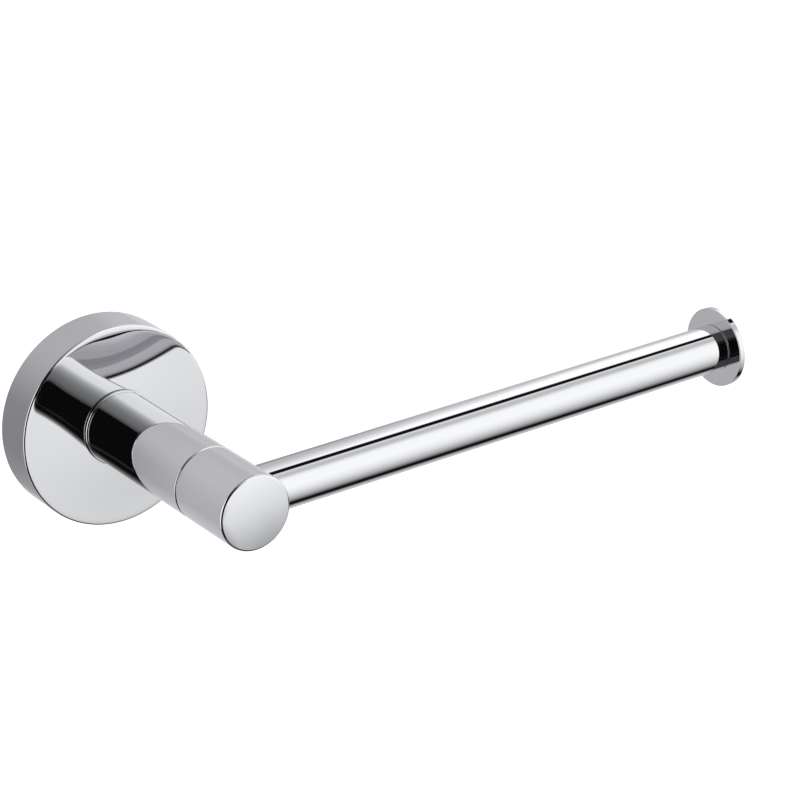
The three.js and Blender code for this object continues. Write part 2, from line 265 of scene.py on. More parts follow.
def slanted(tree, turn, right):
    """The angle at which the bright side is read: beyond the strip's edge it is shifted."""
    slant = calculate(tree, "SUBTRACT", TOP_STRIP_MIDDLE, right)
    slant = times(tree, slant, TOP_STRIP_SLANT)
    slant = calculate(tree, "MAXIMUM", slant, TOP_STRIP_LEAST)
    slant = times(tree, slant, mapped(tree, turn, *SLANT_FADES))
    shifted = calculate(tree, "MAXIMUM", TOP_STRIP_NEAREST, calculate(tree, "ADD", turn, slant))
    change = calculate(tree, "SUBTRACT", calculate(tree, "MINIMUM", shifted, 180.0), turn)
    on_strip = calculate(tree, "GREATER_THAN", turn, TOP_STRIP_EDGE)
    return calculate(tree, "MULTIPLY_ADD", change, on_strip, turn)


# %% How far left the bright side reaches
LOW_REACH = [(-0.65, 0.0), (-0.42, 0.15), (-0.25, 0.15), (-0.05, 0.0), (1.0, 0.0)]
NOT_LEFT, NOT_LOW, BEHIND = (-0.18, 0.06), (-0.42, -0.28), (0.05, -0.05)
AHEAD_OUT, AHEAD_LEFT = (0.9, 0.93), (0.2, -0.05)


def bright_share(tree, right, out, up):
    """How much of a direction's light is the bright side's."""
    # A little below the holder the bright side reaches further left.
    not_left = mapped(tree, right, *NOT_LEFT)
    further = times(tree, mapped(tree, out, *FURTHER_OUT), not_left)
    reach = calculate(tree, "MULTIPLY_ADD", ramp(tree, up, LOW_REACH), further, right)

    # It is cut off low on the left and straight ahead, and those parts mirror as dark lines.
    not_low = calculate(tree, "MAXIMUM", mapped(tree, up, *NOT_LOW), not_left)
    open_to_it = calculate(tree, "MAXIMUM", mapped(tree, out, *BEHIND), not_low)
    share = times(tree, ramp(tree, reach, BRIGHT_SHARE), open_to_it)
    ahead = times(tree, mapped(tree, out, *AHEAD_OUT), mapped(tree, right, *AHEAD_LEFT))
    return times(tree, share, remainder(tree, ahead))


# %% The back of the room is darker
CORNER_BACK, CORNER_LEFT = (0.785, 0.82), (0.45, 0.1)
CORNER_LOW, CORNER_DARK = (0.58, 0.05), (0.12, 0.47)
DEEP_BACK, DEEP_LEFT, DEEP_DARK = (0.815, 0.85), (0.56, 0.5), 0.36


def lost_behind(tree, right, toward_wall, up):
    """The share of the light that is lost toward the wall, most of it low and to the left."""
    corner = times(tree, mapped(tree, toward_wall, *CORNER_BACK),
                   mapped(tree, right, *CORNER_LEFT))
    corner = times(tree, corner, mapped(tree, up, *CORNER_LOW, *CORNER_DARK))
    deep = times(tree, mapped(tree, toward_wall, *DEEP_BACK, 0.0, DEEP_DARK),
                 mapped(tree, right, *DEEP_LEFT))
    return calculate(tree, "MAXIMUM", corner, deep)


# %% All of the light
CARD_LEFT, CARD_BRIGHT = (-0.76, -0.82), 1.5


def studio_light(tree, direction):
    """The brightness of the studio in a direction. Far to the left stands a white card."""
    right, toward_wall, up = add_node(tree, "SeparateXYZ", direction).outputs
    out = bent_out(tree, right, times(tree, toward_wall, -1.0))
    turn = times(tree, calculate(tree, "ARCTAN2", up, out), math.degrees(1))
    dark = ramp(tree, turn, DARK_SIDE)
    bright = ramp(tree, slanted(tree, turn, right), BRIGHT_SIDE)
    light = calculate(tree, "MULTIPLY_ADD", calculate(tree, "SUBTRACT", bright, dark),
                      bright_share(tree, right, out, up), dark)
    kept = remainder(tree, lost_behind(tree, right, toward_wall, up))
    card = mapped(tree, right, *CARD_LEFT, 0.0, CARD_BRIGHT)
    return calculate(tree, "MAXIMUM", times(tree, light, kept), card)


# %% [markdown]
# The camera sees plain white round the holder, and only the chrome and the other metals see the
# studio. The Light Path node tells the two apart.

# %% World
STUDIO_POWER = 0.86
GREY_LIGHT, GREY_BEHIND = (1.2, 0.9), (-0.1, 0.1)
GREY_GREEN, GREY_BLUE = 0.984, 1.03


def add_world():
    world = bpy.data.worlds.new("studio")
    bpy.context.scene.world = world
    world.use_nodes = True
    tree = world.node_tree
    tree.nodes.clear()
    direction = add_node(tree, "TexCoord").outputs["Generated"]
    light = studio_light(tree, direction)
    behind = mapped(tree, add_node(tree, "SeparateXYZ", direction).outputs["Y"], *GREY_BEHIND)
    grey = times(tree, mapped(tree, light, *GREY_LIGHT), behind)
    light = times(tree, light, STUDIO_POWER)
    seen = add_node(tree, "LightPath").outputs["Is Camera Ray"]
    plain = remainder(tree, light)
    shown = calculate(tree, "MULTIPLY_ADD", plain, seen, light)

    # The back of the room is a very slightly violet grey, and the lights are white.
    grey = times(tree, grey, remainder(tree, seen))
    tint = add_node(tree, "CombineXYZ", 1.0, mapped(tree, grey, 0.0, 1.0, 1.0, GREY_GREEN),
                    mapped(tree, grey, 0.0, 1.0, 1.0, GREY_BLUE)).outputs[0]
    background = add_node(tree, "Background", tint, shown)
    add_node(tree, "OutputWorld", background.outputs[0])
    return tree


print("studio nodes:", len(add_world().nodes))
view = bpy.context.scene.view_settings
view.view_transform, view.look = "Standard", "None"

# %% [markdown]
# The floor is far enough below to leave no hard shadow. Reflections pass through it, because a
# real studio would hide the table edge from the chrome too.

# %% Floor
FLOOR_DROP = 120 * MM
FLOOR_HALF = 6.0
FLOOR_GREY, FLOOR_GLOW = 0.9, 0.6


def new_object(name, bm):
    """Turns a finished bmesh into an object of the scene."""
    mesh = bpy.data.meshes.new(name)
    bm.to_mesh(mesh)
    bm.free()
    made = bpy.data.objects.new(name, mesh)
    bpy.context.scene.collection.objects.link(made)
    return made


def make_floor():
    bm = bmesh.new()
    place = Matrix.Translation((0, 0, cad_box[0].z - FLOOR_DROP))
    bmesh.ops.create_grid(bm, x_segments=1, y_segments=1, size=FLOOR_HALF, matrix=place)
    floor = new_object("floor", bm)
    material = bpy.data.materials.new("pale_floor")
    material.use_nodes = True
    shader = material.node_tree.nodes["Principled BSDF"]
    shader.inputs["Base Color"].default_value = (FLOOR_GREY, FLOOR_GREY, FLOOR_GREY, 1)
    shader.inputs["Roughness"].default_value = 0.9
    shader.inputs["Emission Color"].default_value = (1, 1, 1, 1)
    shader.inputs["Emission Strength"].default_value = FLOOR_GLOW
    floor.data.materials.append(material)
    floor.visible_glossy = False
    return floor


print("floor at z = %.3f m" % make_floor().data.vertices[0].co.z)


# %% [markdown]
# ## Finishes
#
# Two effects are shared, so each is a node group. `blemishes` gives a slow unevenness, which makes
# the roughness wander a little and puts a faint waviness in the surface. `tool_marks` gives the
# fine rings that a lathe leaves along a piece. Both only put out numbers: the shaders stay in the
# materials.

# %% Blemishes, a node group
def new_group(name, inputs, outputs):
    group = bpy.data.node_groups.new(name, "ShaderNodeTree")
    for socket, kind in inputs:
        group.interface.new_socket(socket, in_out="INPUT", socket_type="NodeSocket" + kind)
    for socket in outputs:
        group.interface.new_socket(socket, in_out="OUTPUT", socket_type="NodeSocketFloat")
    return group, group.nodes.new("NodeGroupInput").outputs, group.nodes.new("NodeGroupOutput")


FINE_SCALE, FINE_SHARE = 7.0, 0.35
NOISE_SPREAD = (0.5, 0.85)


def blemish_group():
    inputs = [("Place", "Vector"), ("Scale", "Float"), ("Smooth", "Float"), ("Rough", "Float")]
    group, given, out = new_group("blemishes", inputs, ["Roughness", "Height"])
    slow = add_node(group, "TexNoise", given["Place"], None, given["Scale"], 2.0).outputs[0]
    fine_scale = calculate(group, "MULTIPLY", given["Scale"], FINE_SCALE)
    fine = add_node(group, "TexNoise", given["Place"], None, fine_scale, 4.0).outputs[0]
    both = calculate(group, "MULTIPLY_ADD", fine, FINE_SHARE, slow)
    uneven = mapped(group, both, *NOISE_SPREAD, given["Smooth"], given["Rough"])
    group.links.new(uneven, out.inputs["Roughness"])
    group.links.new(slow, out.inputs["Height"])
    return group


blemishes = blemish_group()
print("group:", blemishes.name)


# %% Tool marks, a node group
def tool_mark_group():
    inputs = [("Place", "Vector"), ("Along", "Vector"), ("Pitch", "Float")]
    group, given, out = new_group("tool_marks", inputs, ["Height"])
    along = add_node(group, "VectorMath", given["Place"], given["Along"],
                     operation="DOT_PRODUCT").outputs["Value"]
    turns = calculate(group, "DIVIDE", along, given["Pitch"])
    ripple = calculate(group, "SINE", calculate(group, "MULTIPLY", turns, math.tau))
    group.links.new(ripple, out.inputs["Height"])
    return group


tool_marks = tool_mark_group()
print("group:", tool_marks.name)


# %% [markdown]
# Every metal here is the same shader with its own numbers. Its colour is set on the shader, its
# roughness comes from the blemishes, and its bump from the blemishes or the tool marks. Bump
# distances are real heights in metres: a few thousandths of a millimetre on the chrome, because a
# mirror shows even that.

# %% What the materials share
def start_material(name, color, metallic):
    material = bpy.data.materials.new(name)
    material.use_nodes = True
    shader = material.node_tree.nodes["Principled BSDF"]
    shader.inputs["Base Color"].default_value = (*color, 1)
    shader.inputs["Metallic"].default_value = metallic
    place = add_node(material.node_tree, "TexCoord").outputs["Object"]
    return material, shader, place


def use_blemishes(tree, shader, place, scale, smooth, rough):
    used = add_node(tree, "Group", node_tree=blemishes)
    tree.links.new(place, used.inputs["Place"])
    for name, value in (("Scale", scale), ("Smooth", smooth), ("Rough", rough)):
        used.inputs[name].default_value = value
    tree.links.new(used.outputs["Roughness"], shader.inputs["Roughness"])
    return used.outputs["Height"]


def use_tool_marks(tree, place, along, pitch):
    used = add_node(tree, "Group", node_tree=tool_marks)
    tree.links.new(place, used.inputs["Place"])
    used.inputs["Along"].default_value = along
    used.inputs["Pitch"].default_value = pitch
    return used.outputs["Height"]


def raise_surface(tree, shader, height, distance, strength=1.0):
    bump = add_node(tree, "Bump")
    bump.inputs["Strength"].default_value = strength
    bump.inputs["Distance"].default_value = distance
    tree.links.new(height, bump.inputs["Height"])
    tree.links.new(bump.outputs[0], shader.inputs["Normal"])


# %% Metals
ALONG_X, ALONG_Y, ALONG_Z = (1, 0, 0), (0, 1, 0), (0, 0, 1)
BRASS, PLATED_STEEL = (0.58, 0.40, 0.14), (0.50, 0.51, 0.53)


def polished_chrome():
    material, shader, place = start_material("polished_chrome", (0.715, 0.72, 0.735), 1.0)
    tree = material.node_tree
    waves = use_blemishes(tree, shader, place, scale=45.0, smooth=0.012, rough=0.035)
    raise_surface(tree, shader, waves, 0.012 * MM)
    return material


def turned_metal(name, color, smooth, rough, along):
    material, shader, place = start_material(name, color, 1.0)
    tree = material.node_tree
    use_blemishes(tree, shader, place, 260.0, smooth, rough)
    rings = use_tool_marks(tree, place, along, pitch=0.22 * MM)
    raise_surface(tree, shader, rings, 0.006 * MM)
    return material


chrome = polished_chrome()
brass_post = turned_metal("brass_along_post", BRASS, 0.24, 0.42, ALONG_Y)
brass_bar = turned_metal("brass_along_bar", BRASS, 0.24, 0.42, ALONG_X)
steel_post = turned_metal("plated_steel_along_post", PLATED_STEEL, 0.22, 0.38, ALONG_Y)
steel_down = turned_metal("plated_steel_upright", PLATED_STEEL, 0.22, 0.38, ALONG_Z)
print("metals:", chrome.name, brass_post.name, brass_bar.name, steel_post.name, steel_down.name)


# %% [markdown]
# The bracket is cast in zinc and never polished: its skin is grainy, and its grey wanders in
# patches. The springs are dark and oily. The one washer that isn't metal is nylon, which is milky
# and lets a little light in.

# %% Casting, springs and nylon
def patchy_color(tree, shader, place, scale, dark, light):
    """Mixes two colours by a slow noise."""
    noise = add_node(tree, "TexNoise", place, None, scale, 5.0).outputs[0]
    mix = add_node(tree, "Mix", data_type="RGBA")
    tree.links.new(mapped(tree, noise, 0.35, 0.65), mix.inputs["Factor"])
    mix.inputs[6].default_value, mix.inputs[7].default_value = (*dark, 1), (*light, 1)
    tree.links.new(mix.outputs[2], shader.inputs["Base Color"])


def zinc_casting():
    material, shader, place = start_material("zinc_casting", (0.4, 0.4, 0.41), 1.0)
    tree = material.node_tree
    use_blemishes(tree, shader, place, scale=180.0, smooth=0.38, rough=0.6)
    patchy_color(tree, shader, place, 260.0, (0.36, 0.365, 0.375), (0.46, 0.465, 0.475))
    grain = add_node(tree, "TexNoise", place, None, 2600.0, 2.0).outputs[0]
    raise_surface(tree, shader, grain, 0.05 * MM, strength=0.6)
    return material


def spring_steel():
    material, shader, place = start_material("spring_steel", (0.2, 0.2, 0.21), 1.0)
    tree = material.node_tree
    waves = use_blemishes(tree, shader, place, scale=300.0, smooth=0.2, rough=0.45)
    patchy_color(tree, shader, place, 350.0, (0.13, 0.13, 0.15), (0.27, 0.26, 0.25))
    raise_surface(tree, shader, waves, 0.02 * MM)
    return material


def milky_nylon():
    material, shader, place = start_material("milky_nylon", (0.78, 0.77, 0.71), 0.0)
    shader.inputs["Subsurface Weight"].default_value = 0.3
    shader.inputs["Subsurface Radius"].default_value = (1 * MM, 0.9 * MM, 0.7 * MM)
    tree = material.node_tree
    waves = use_blemishes(tree, shader, place, scale=400.0, smooth=0.35, rough=0.55)
    raise_surface(tree, shader, waves, 0.02 * MM)
    return material


zinc, spring, nylon = zinc_casting(), spring_steel(), milky_nylon()
print("others:", zinc.name, spring.name, nylon.name)


# %% [markdown]
# ## Turned pieces
#
# Nearly every piece comes off a lathe or could: flange, post, head, bar, screws, washers. A Screw
# modifier or a spin of a drawn outline would both do it. The outline is spun here, because then
# the true direction of the surface is known at each of its points. A mirror shows the smallest
# error in those directions, so they are written into the mesh as custom normals, instead of being
# averaged from its faces.
#
# An outline is a list of corners, each a distance along the axis and a radius, and a third number
# rounds the corner. It runs outward on the near side and back in on the far side. `EASED` and
# `SOFT` are the roundings of edges that only had their sharpness taken off.

# %% Outlines
ROUNDING_STEPS = 6
EASED, SOFT = 0.15 * MM, 0.3 * MM


def unit(d, r):
    length = math.hypot(d, r)
    return d / length, r / length


def outward(start, end):
    """The surface's direction along a straight stretch: a quarter turn from its run."""
    d, r = unit(end[0] - start[0], end[1] - start[1])
    return -r, d


def rounded(before, corner, after, radius):
    """The arc that replaces a corner, as (point, direction) pairs."""
    n_in, n_out = outward(before, corner), outward(corner, after)
    turn = math.atan2(n_in[0] * n_out[1] - n_in[1] * n_out[0],
                      n_in[0] * n_out[0] + n_in[1] * n_out[1])
    side = -1 if turn > 0 else 1
    run = unit(corner[0] - before[0], corner[1] - before[1])
    reach = radius * math.tan(abs(turn) / 2)
    start = (corner[0] - run[0] * reach, corner[1] - run[1] * reach)
    centre = (start[0] - side * radius * n_in[0], start[1] - side * radius * n_in[1])
    pairs = []
    for step in range(ROUNDING_STEPS + 1):
        c = math.cos(turn * step / ROUNDING_STEPS)
        s = math.sin(turn * step / ROUNDING_STEPS)
        n = (n_in[0] * c - n_in[1] * s, n_in[0] * s + n_in[1] * c)
        pairs.append(((centre[0] + side * radius * n[0], centre[1] + side * radius * n[1]), n))
    return pairs


def path(*corners):
    """Corners to stretches, each (point, direction there, point, direction there)."""
    made, here = [], corners[0][:2]
    for before, corner, after in zip(corners, corners[1:], corners[2:]):
        arc = [(corner[:2], None)]
        if len(corner) == 3:
            arc = rounded(before[:2], corner[:2], after[:2], corner[2])
        way = outward(here, arc[0][0])
        made.append((here, way, arc[0][0], way))
        made += [(a, a_way, b, b_way) for (a, a_way), (b, b_way) in zip(arc, arc[1:])]
        here = arc[-1][0]
    way = outward(here, corners[-1][:2])
    return made + [(here, way, corners[-1][:2], way)]


# %% [markdown]
# The flange's face and the head's end aren't quite flat. Polishing leaves them a little higher in
# the middle, and it shows in a mirror long before it shows in an outline. Such a face is given by
# its slope: it leans back by `lean` at the rim, less `relax` where the buffing wheel has flattened
# it again, and `lip` more in the last millimetre or so, where the wheel rolls over the edge. Round
# the face runs a slope of 28 degrees, about half a millimetre wide, where the edge was broken. It
# mirrors one part of the studio all along, so it shows as a crisp line.

# %% Crowned faces
CROWN_STEPS = 40
LIP_POWER = 60
RIM_SLOPE = math.tan(math.radians(28))


def rise(radius, full, lean, relax=0, lip=0):
    """How far a crowned face stands above its rim at some radius."""
    share = radius / full
    height = lean * (1 - share ** 2) / 2 - relax * (1 - share ** 4) / 4
    return full * (height + lip * (1 - share ** (LIP_POWER + 1)) / (LIP_POWER + 1))


def crowned(rim, outer, inner, full, lean, relax=0, lip=0):
    def at(radius):
        share = radius / full
        place = (rim + rise(radius, full, lean, relax, lip), radius)
        return place, unit(1, lean * share - relax * share ** 3 + lip * share ** LIP_POWER)

    marks = [at(outer + (inner - outer) * step / CROWN_STEPS) for step in range(CROWN_STEPS + 1)]
    return [(a, a_way, b, b_way) for (a, a_way), (b, b_way) in zip(marks, marks[1:])]


# %% Spin an outline about an axis
OUT_FROM_WALL = (Vector((0, 0, 0)), Vector((0, -1, 0)))
ALONG_BAR = (Vector((0, -bar_out, 0)), Vector((1, 0, 0)))


def downward(out):
    return Vector((0, -out, 0)), Vector((0, 0, -1))


def beside_post(x, z):
    return Vector((x, 0, z)), Vector((0, -1, 0))


def spun(name, axis, stretches, steps):
    origin, along = axis
    side = along.orthogonal().normalized()
    points = [stretches[0][0]] + [stretch[2] for stretch in stretches]
    bm = bmesh.new()
    verts = [bm.verts.new(origin + along * d + side * r) for d, r in points]
    edges = [bm.edges.new(pair) for pair in zip(verts, verts[1:])]
    bmesh.ops.spin(bm, geom=verts + edges, cent=origin, axis=along, angle=math.tau,
                   steps=steps, use_merge=True, use_duplicate=False)
    bmesh.ops.remove_doubles(bm, verts=bm.verts, dist=1e-7)
    bmesh.ops.recalc_face_normals(bm, faces=bm.faces)
    return new_object(name, bm)


# %% Write the true directions into a turned mesh
OFF_OUTLINE = 0.02 * MM
SAME_WAY = 0.7


def read(items, key, width=3, kind=np.float64):
    values = np.empty(len(items) * width, kind)
    items.foreach_get(key, values)
    return values.reshape(-1, width) if width > 1 else values


def true_directions(piece, axis, stretches):
    """Gives each corner of each turned face the direction that the outline has there."""
    mesh = piece.data
    origin, along = np.array(axis[0]), np.array(axis[1])
    starts, ways_in, ends, ways_out = (np.array([s[i] for s in stretches]) for i in range(4))
    runs = ends - starts
    lengths = (runs ** 2).sum(1).clip(1e-18)

    def in_outline(places):
        d = (places - origin) @ along
        away = places - origin - np.outer(d, along)
        r = np.linalg.norm(away, axis=1)
        return np.stack([d, r], 1), away / r.clip(1e-9)[:, None]

    centres, centres_away = in_outline(read(mesh.polygons, "center"))
    share = (((centres[:, None] - starts) * runs).sum(2) / lengths).clip(0, 1)
    misses = np.linalg.norm(centres[:, None] - starts - share[..., None] * runs, axis=2)

    counts = read(mesh.polygons, "loop_total", 1, np.int32)
    face = np.repeat(np.arange(len(counts)), counts)
    nearest = misses.argmin(1)[face]
    flat = read(mesh.polygons, "normal")[face]
    vertex = read(mesh.loops, "vertex_index", 1, np.int32)
    corners, away = in_outline(read(mesh.vertices, "co")[vertex])
    on_axis = corners[:, 1] < 1e-6
    away[on_axis] = centres_away[face][on_axis]
    share = ((corners - starts[nearest]) * runs[nearest]).sum(1) / lengths[nearest]
    share = share.clip(0, 1)[:, None]
    ways = ways_in[nearest] * (1 - share) + ways_out[nearest] * share
    normals = along * ways[:, :1] + away * ways[:, 1:]
    normals /= np.linalg.norm(normals, axis=1)[:, None]
    cut = (misses.min(1)[face] > OFF_OUTLINE) | ((normals * flat).sum(1) < SAME_WAY)
    normals[cut] = flat[cut]
    mesh.polygons.foreach_set("use_smooth", np.ones(len(counts), bool))
    mesh.normals_split_custom_set(normals.tolist())


# %% [markdown]
# A lathe can't make a cross hole, a hex socket or a slot. Those are cut with Boolean modifiers
# that are applied at once, so the finished mesh is plain and the cutters can go. The many-sided
# faces that a cut leaves are divided into triangles, so that nothing else has to guess how. The
# true directions are written after the cuts: faces on the outline get them, and cut faces stay
# flat. A cutter runs `PAST` the piece, so that the two never share a face.

# %% Cut and join
PAST = 1 * MM


def combine(piece, operation, *others):
    for other in others:
        step = piece.modifiers.new(other.name, "BOOLEAN")
        step.operation, step.solver, step.object = operation, "EXACT", other
    graph = bpy.context.evaluated_depsgraph_get()
    old = piece.data
    piece.data = bpy.data.meshes.new_from_object(piece.evaluated_get(graph))
    piece.modifiers.clear()
    bpy.data.meshes.remove(old)
    for other in others:
        bpy.data.objects.remove(other)
    bm = bmesh.new()
    bm.from_mesh(piece.data)
    bmesh.ops.triangulate(bm, faces=[face for face in bm.faces if len(face.verts) > 4])
    bm.to_mesh(piece.data)
    bm.free()
    return piece


def cutter(axis, start, end, radius, end_radius=None, sides=48):
    """A round cutter between two distances on an axis, or a prism if it has few sides."""
    origin, along = axis
    bm = bmesh.new()
    place = Matrix.Translation(origin + along * (start + end) / 2)
    turn = along.to_track_quat("Z", "Y").to_matrix().to_4x4()
    bmesh.ops.create_cone(bm, cap_ends=True, segments=sides, radius1=radius,
                          radius2=end_radius or radius, depth=end - start, matrix=place @ turn)
    return new_object("cutter", bm)


def turned(node, axis, stretches, *cutters, steps=96):
    """A turned piece with any holes cut in it, and its true directions."""
    piece = spun(node + "_fine", axis, stretches, steps)
    if cutters:
        combine(piece, "DIFFERENCE", *cutters)
    true_directions(piece, axis, stretches)
    return piece


def dress(piece, material):
    """Gives a finished piece its material and puts it in the place of its CAD node."""
    node = piece.name.removesuffix("_fine")
    piece.data.materials.clear()
    piece.data.materials.append(material)
    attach(piece, body_of[node])
    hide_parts(node)
    print("%s: %d faces" % (piece.name, len(piece.data.polygons)))
    return piece


def rod_outline(start, stop, radius, edge):
    return path((start, 0), (start, radius, edge), (stop, radius, edge), (stop, 0))


def washer_outline(start, stop, inner, outer, edge):
    """A ring with its four edges rounded. It starts and ends in the middle of its bore."""
    middle = ((start + stop) / 2, inner)
    return path(middle, (start, inner, edge), (start, outer, edge), (stop, outer, edge),
                (stop, inner, edge), middle)


# %% [markdown]
# ## The flange cover
#
# The cover is spun from brass sheet and plated: a shallow cup with a crowned face and a flat seat
# in its middle for the post. Its lowest edge is tapped for the set screw, and a boss inside gives
# that screw enough thread.

# %% Flange cover
FLANGE_WALL = 1.8 * MM
FLANGE_FLOOR = 10 * MM
FLANGE_EDGE = 0.3 * MM
FLANGE_RIM = 0.4 * MM
FLANGE_LEAN, FLANGE_RELAX, FLANGE_LIP = 0.11, 0.092, 0.3
set_screw_out = -centre_of("flange_set_screw", "y")
pin_axis = beside_post(0, centre_of("locating_pin", "z"))
pin_hole = radius_of("locating_pin") + GAP
flange_radius = radius_of("flange_cover")
flange_inside = flange_radius - FLANGE_WALL
seat_radius = post_radius + GAP
seat_out = out_span("flange_cover")[1]
flange_crown = (flange_radius, FLANGE_LEAN, FLANGE_RELAX, FLANGE_LIP)
rim_out = seat_out - rise(seat_radius, *flange_crown)


def flange_outline():
    last = flange_radius - FLANGE_RIM
    last_out = rim_out + rise(last, *flange_crown)
    shell = path((0, flange_inside), (0, flange_radius, EASED),
                 (last_out - FLANGE_RIM * RIM_SLOPE, flange_radius, FLANGE_EDGE), (last_out, last))
    face = crowned(rim_out, last, seat_radius, *flange_crown)
    inside = path((seat_out, seat_radius), (seat_out, m6_hole), (FLANGE_FLOOR, m6_hole),
                  (FLANGE_FLOOR, flange_inside, 1 * MM), (0, flange_inside))
    return shell + face + inside


# %% The flange's boss and holes
BOSS_HALF = 4 * MM
BOSS_BACK = 0.5 * MM
BOSS_EDGE = 0.4 * MM
HOLE_MOUTH = 0.6 * MM


def block(low_corner, high_corner, edge):
    """A box with bevelled edges, between two corners."""
    low_corner, high_corner = Vector(low_corner), Vector(high_corner)
    bm = bmesh.new()
    size = Matrix.Diagonal((*(high_corner - low_corner), 1))
    bmesh.ops.create_cube(bm, matrix=Matrix.Translation((low_corner + high_corner) / 2) @ size)
    if edge:
        bmesh.ops.bevel(bm, geom=bm.edges, offset=edge, offset_type="OFFSET", segments=2,
                        profile=0.5, affect="EDGES", material=-1)
    return new_object("block", bm)


def make_flange():
    outline = flange_outline()
    cover = spun("flange_cover_fine", OUT_FROM_WALL, outline, 192)
    boss_top = -(radius_of("wall_bracket", "x") + GAP)
    boss = block((-BOSS_HALF, -set_screw_out - 3.5 * MM, -flange_inside - FLANGE_WALL / 2),
                 (BOSS_HALF, -BOSS_BACK, boss_top), BOSS_EDGE)
    combine(cover, "UNION", boss)
    below = downward(set_screw_out)
    hole = M4 / 2 + GAP
    combine(cover, "DIFFERENCE",
            cutter(below, flange_inside - 6 * MM, flange_radius + PAST, hole),
            cutter(below, flange_radius - 0.4 * MM, flange_radius + 0.2 * MM, hole,
                   hole + HOLE_MOUTH),
            cutter(pin_axis, FLANGE_FLOOR - PAST, seat_out + PAST, pin_hole))
    true_directions(cover, OUT_FROM_WALL, outline)
    return cover


dress(make_flange(), chrome)

# %% [markdown]
# ## Post, head and bar
#
# The post stands on a thin collar that covers the joint with the flange. The post and the head are
# the same thickness and meet at a fine V-groove, where the head turns. The post's edge at the
# groove is a narrow slope like the flange's, and the head's is a small rounding, so a bright line
# runs along the dark gap. The head is solid, bored across for the bar. It is spun whole and then
# cut, because the bar's hole crosses its curved side.

# %% Post
POST_WALL = 2 * MM
COLLAR_LENGTH, COLLAR_STEP, COLLAR_EDGE = 0.6 * MM, 0.4 * MM, 0.3 * MM
SEAM_EDGE = 0.2 * MM
SEAM_RIM = 0.6 * MM


def make_post():
    start, stop = out_span("post_tube")
    bore, collar = post_radius - POST_WALL, post_radius + COLLAR_STEP
    middle = ((start + stop) / 2, bore)
    outline = path(middle, (start, bore, SOFT), (start, collar, EASED),
                   (start + COLLAR_LENGTH, collar, COLLAR_EDGE),
                   (start + COLLAR_LENGTH, post_radius),
                   (stop - SEAM_RIM * RIM_SLOPE, post_radius, SEAM_EDGE),
                   (stop, post_radius - SEAM_RIM), (stop, bore, SOFT), middle)
    return turned("post_tube", OUT_FROM_WALL, outline, steps=160)


dress(make_post(), chrome)

# %% Head
HEAD_LEAN = 0.2
END_EDGE, END_RIM = 0.4 * MM, 0.5 * MM
head_start, head_tip = out_span("head")
grub_hole = M5 / 2 + GAP
stop_pin_x = centre_of("swivel_stop_pin", "x")
stop_pin_z = centre_of("swivel_stop_pin", "z")
stop_pin_axis = beside_post(stop_pin_x, stop_pin_z)
stop_pin_hole = radius_of("swivel_stop_pin") + GAP


def grub_cutter(inner, outer):
    return cutter(downward(bar_out), inner, outer + PAST, grub_hole)


def make_head():
    rim = head_tip - rise(0, post_radius, HEAD_LEAN)
    last = post_radius - END_RIM
    last_out = rim + rise(last, post_radius, HEAD_LEAN)
    outline = path((head_start, 0), (head_start, post_radius, SEAM_EDGE),
                   (last_out - END_RIM * RIM_SLOPE, post_radius, END_EDGE), (last_out, last))
    outline += crowned(rim, last, 0, post_radius, HEAD_LEAN)
    bar_hole = bar_radius + GAP / 2
    return turned(
        "head", OUT_FROM_WALL, outline,
        cutter(ALONG_BAR, low("bar_tube", "x") - GAP, post_radius + PAST, bar_hole, sides=96),
        cutter(OUT_FROM_WALL, head_start - PAST, bar_out - bar_radius, m6_hole),
        cutter(stop_pin_axis, head_start - PAST, out_span("swivel_stop_pin")[1] + GAP,
               stop_pin_hole),
        grub_cutter(2 * MM, post_radius),
        steps=160)


dress(make_head(), chrome)

# %% Bar
BAR_WALL = 1 * MM
BAR_EDGE, BAR_END_EDGE = 0.2 * MM, 0.22 * MM
BAR_SHORT = 0.12 * MM
bar_start = low("bar_tube", "x")
disc_near = high("bar_tube", "x") + GAP


def make_bar():
    stop = disc_near - BAR_SHORT
    bore = bar_radius - BAR_WALL
    middle = ((bar_start + stop) / 2, bore)
    outline = path(middle, (bar_start, bore, BAR_EDGE), (bar_start, bar_radius, BAR_EDGE),
                   (stop, bar_radius, BAR_END_EDGE), (stop, bore, BAR_EDGE), middle)
    return turned("bar_tube", ALONG_BAR, outline, grub_cutter(3 * MM, bar_radius), steps=128)


dress(make_bar(), chrome)

# %% [markdown]
# ## Threads
#
# A thread is a ridge that climbs round a core. `bmesh.ops.spin` makes it: given a `dvec`, each
# step of the spin also moves along the axis. The ridge's two ends are closed, and it sinks a
# little into the core. Its section is given in parts of the pitch.

# %% Sweep a face round an axis
def sweep(bm, face, origin, along, angle, steps, climb=0.0):
    """Makes a solid with the face at its start and end, climbing along the axis as it turns."""
    bmesh.ops.spin(bm, geom=[face, *face.edges, *face.verts], cent=origin, axis=along,
                   dvec=Vector(along) * (climb / steps), angle=angle, steps=steps,
                   use_merge=False, use_duplicate=False)


# %% Add a thread to a piece
THREAD_STEPS = 24
THREAD_DEPTH = 0.61
THREAD_SUNK = 0.05 * MM


